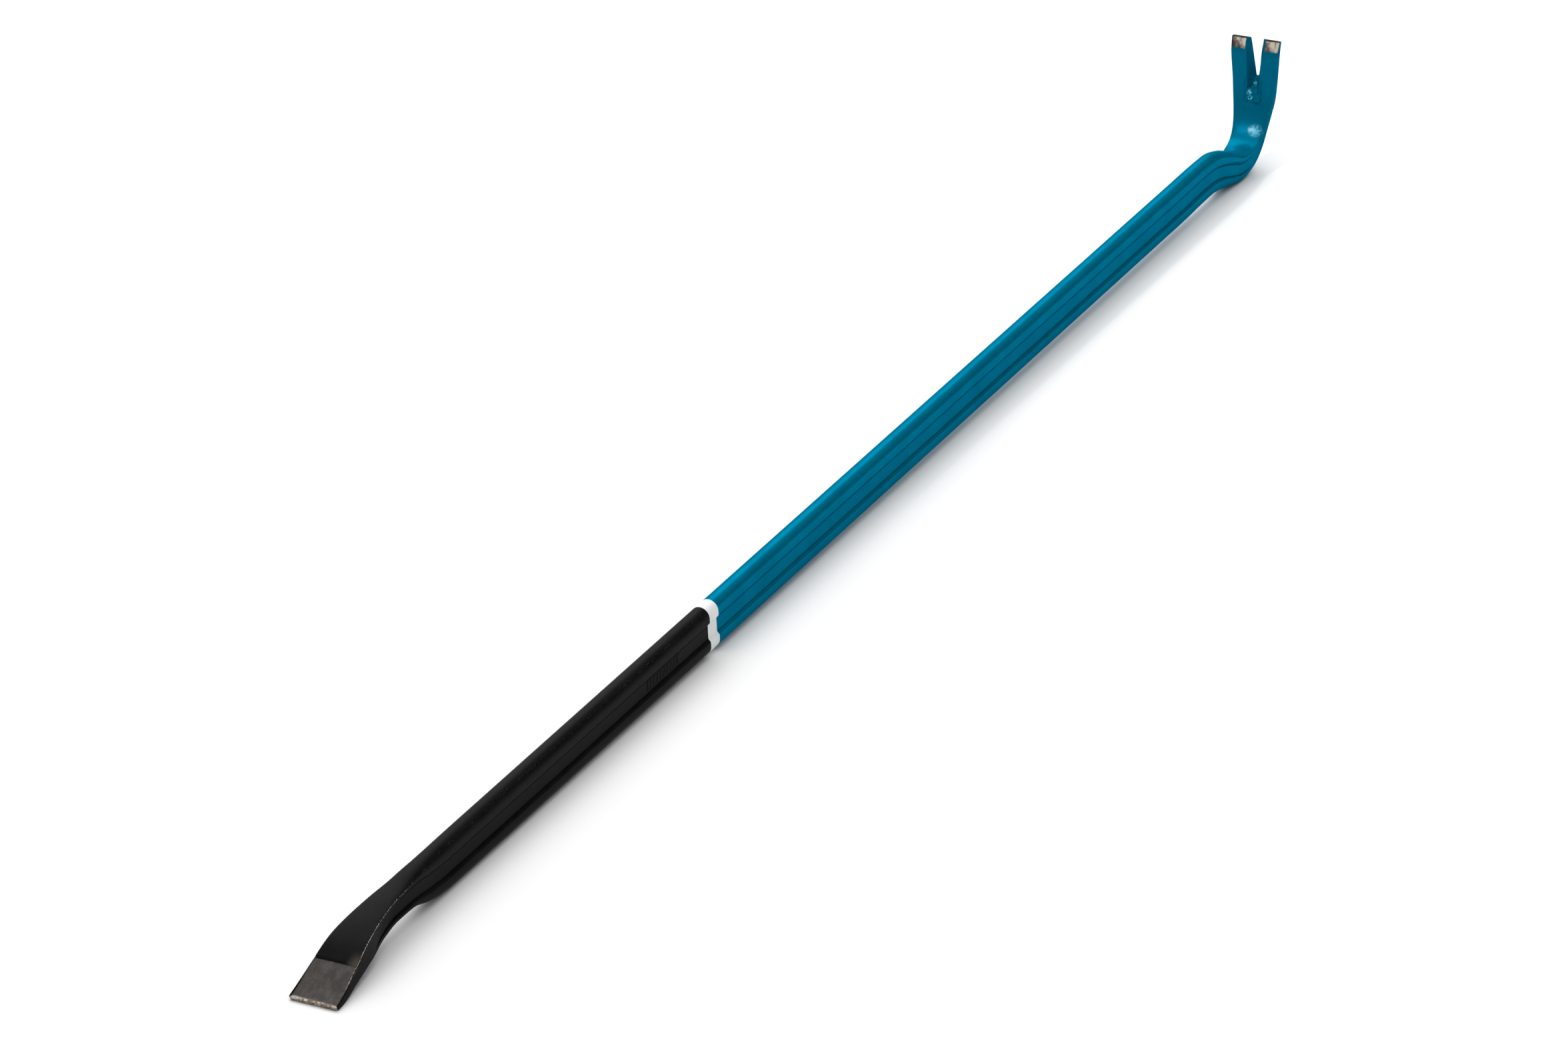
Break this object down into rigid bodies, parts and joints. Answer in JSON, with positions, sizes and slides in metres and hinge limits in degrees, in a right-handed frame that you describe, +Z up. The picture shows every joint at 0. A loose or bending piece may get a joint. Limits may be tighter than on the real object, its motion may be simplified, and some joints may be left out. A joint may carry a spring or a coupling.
{
  "type": "wrecking bar",
  "caption": "One-piece forged wrecking bar with an I-section shaft, a bent flat chisel at one end and an upswept slotted nail claw at the other.",
  "frame": {"origin": "on the surface the bar rests on, below the middle of its box", "axes": "+X along the bar from the chisel towards the claw, +Y across the bar's width, +Z up, with the claw standing up; the heel of the gooseneck and the chisel's edge both touch z = 0"},
  "size_m": [1.2015, 0.035, 0.0864],
  "materials": {
    "bare_steel": "ground forging steel, dull brown-grey with fine grain",
    "black_paint": "satin black powder coat with fine orange peel",
    "white_paint": "semi-gloss white coat",
    "teal_paint": "semi-gloss blue-green powder coat"
  },
  "bodies": {
    "root": {"forged_bar": "bare_steel", "black_coat": "black_paint", "white_band": "white_paint", "teal_coat": "teal_paint"}
  },
  "joints": []
}
